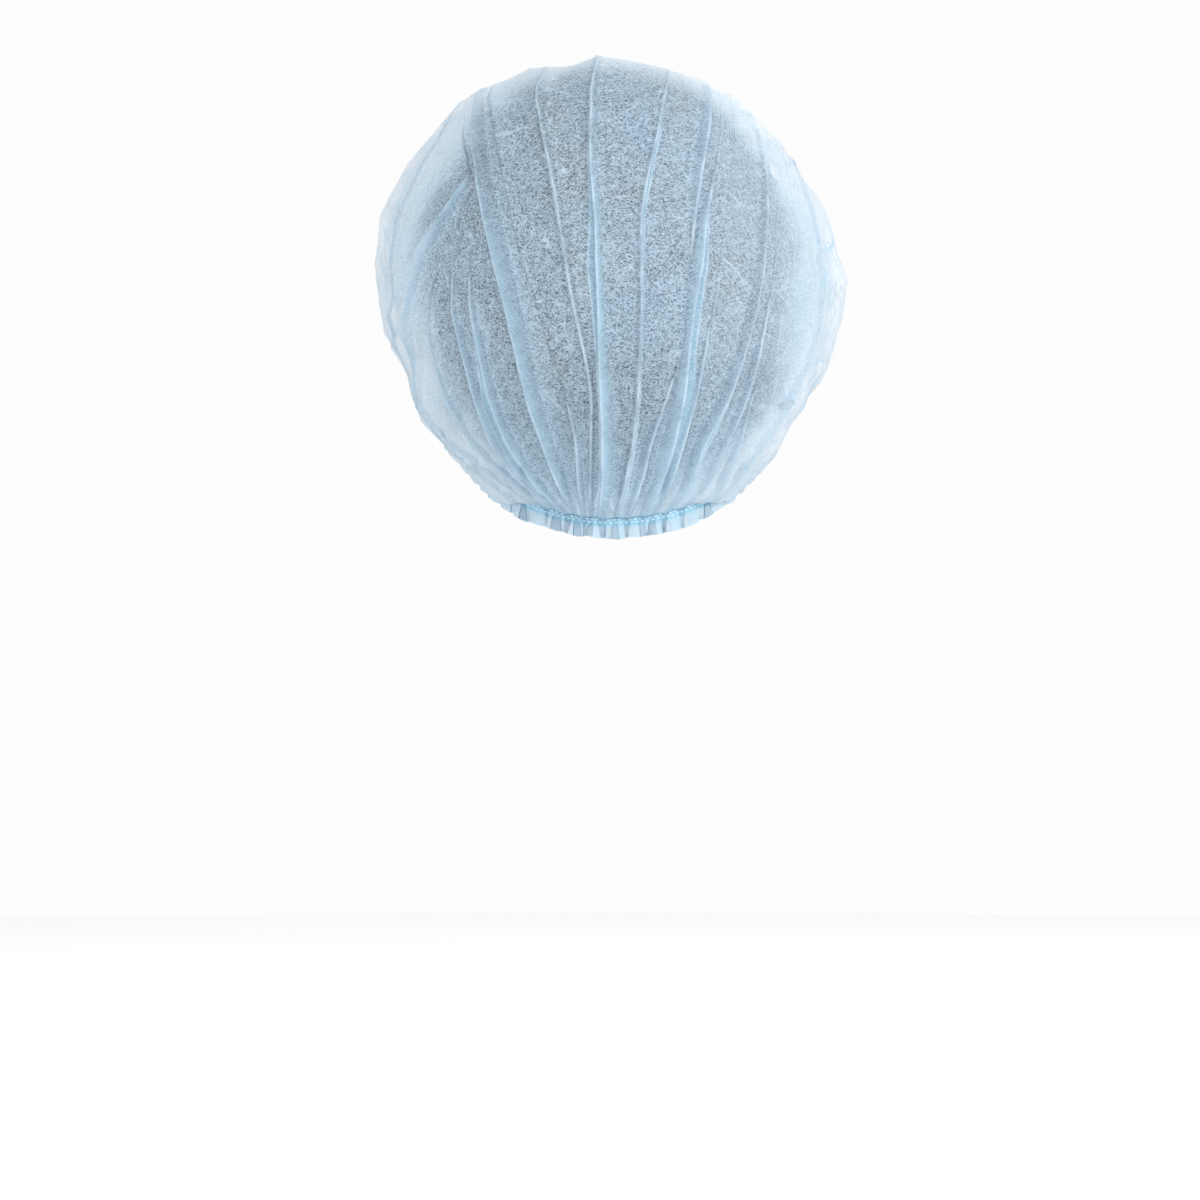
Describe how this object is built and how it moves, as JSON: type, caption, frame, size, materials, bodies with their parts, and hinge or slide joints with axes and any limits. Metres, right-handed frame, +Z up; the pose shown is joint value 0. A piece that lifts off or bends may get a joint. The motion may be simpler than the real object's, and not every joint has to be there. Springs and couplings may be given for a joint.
{
  "type": "disposable beret cap",
  "caption": "Thin pleated nonwoven cap in the form it has on a head: puffed crown with accordion creases, gathered on a slanted elastic loop with a short frill below it.",
  "frame": {"origin": "the middle of the elastic loop, which is where the cap sits on a head", "axes": "+Z is up, +X is the wearer's right and +Y is the way the wearer faces; the loop is lower at the nape (-Y) and higher at the forehead (+Y)"},
  "size_m": [0.2177, 0.2336, 0.2228],
  "materials": {
    "spunbond_cloth": "matte light blue spunbond, part see-through, with white fold edges",
    "elastic": "ribbed cyan elastic with white stitching"
  },
  "bodies": {
    "root": {"crown_sheet": "spunbond_cloth", "elastic_band": "elastic"}
  },
  "joints": []
}
